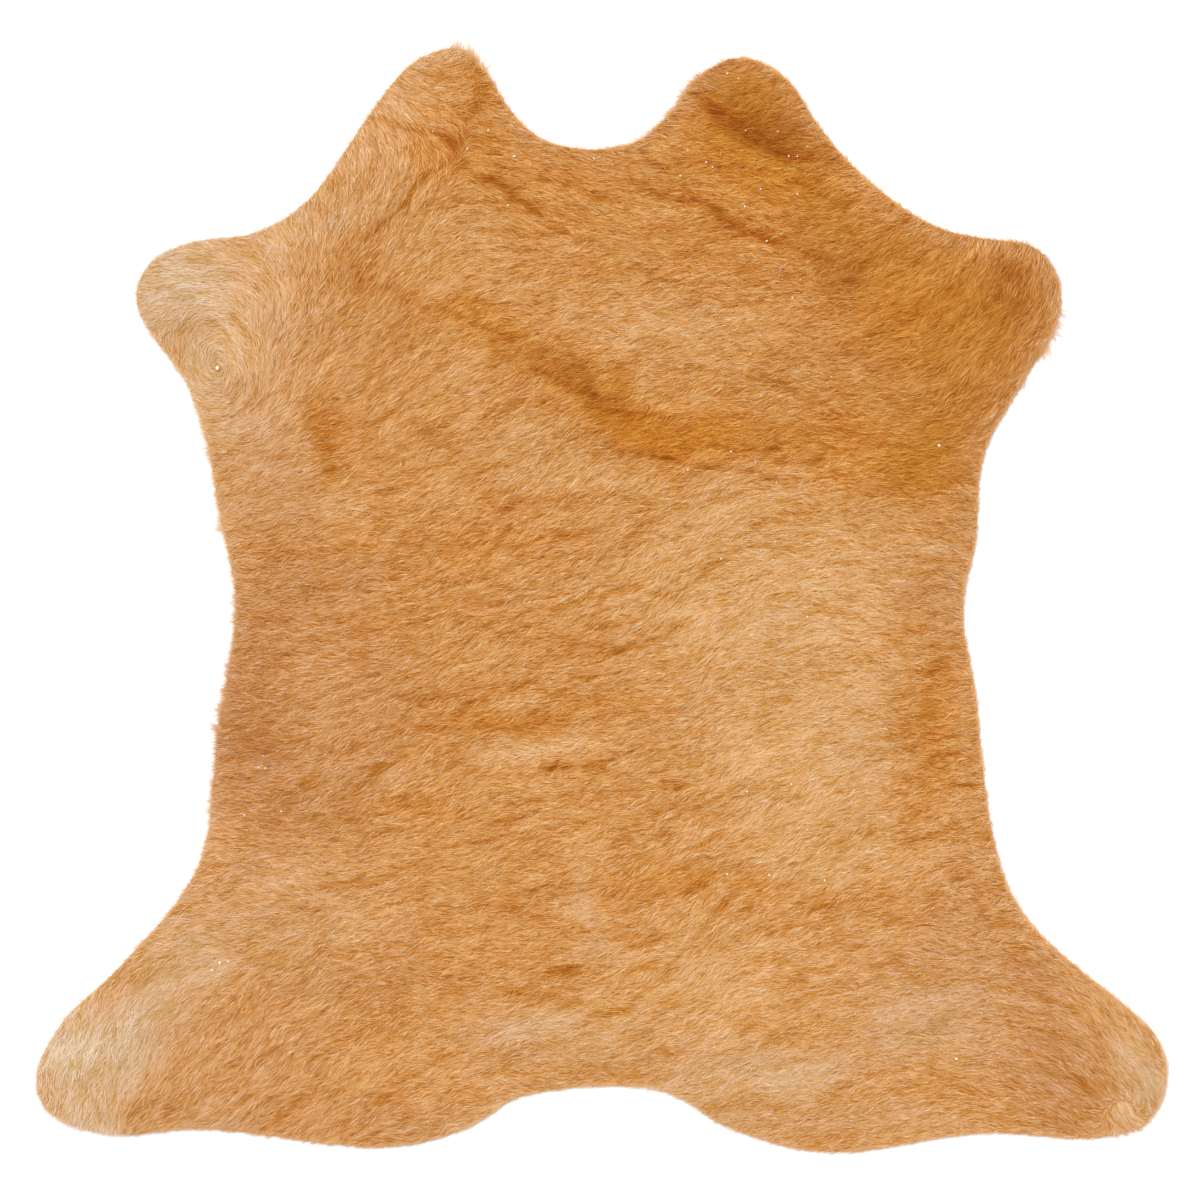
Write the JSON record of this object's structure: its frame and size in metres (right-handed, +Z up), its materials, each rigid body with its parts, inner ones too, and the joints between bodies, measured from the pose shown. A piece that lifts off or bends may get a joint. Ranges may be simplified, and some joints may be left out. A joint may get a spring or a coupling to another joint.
{
  "type": "cowhide rug",
  "caption": "Small hair-on cowhide rug in caramel brown, tanned in one piece with split neck, legs and tail bay, laid flat with its hair side up.",
  "frame": {"origin": "on the floor under the middle of the rug's box", "axes": "+Z up out of the hair, +Y along the spine from the rump to the split neck, +X across the hide towards its right legs as seen from above with the neck away from the viewer"},
  "size_m": [0.9224, 0.9026, 0.006],
  "materials": {
    "hair": "short caramel cow hair lying close over tanned skin, matt with a faint silky sheen; bare suede on the underside"
  },
  "bodies": {
    "root": {"hide": "hair"}
  },
  "joints": []
}
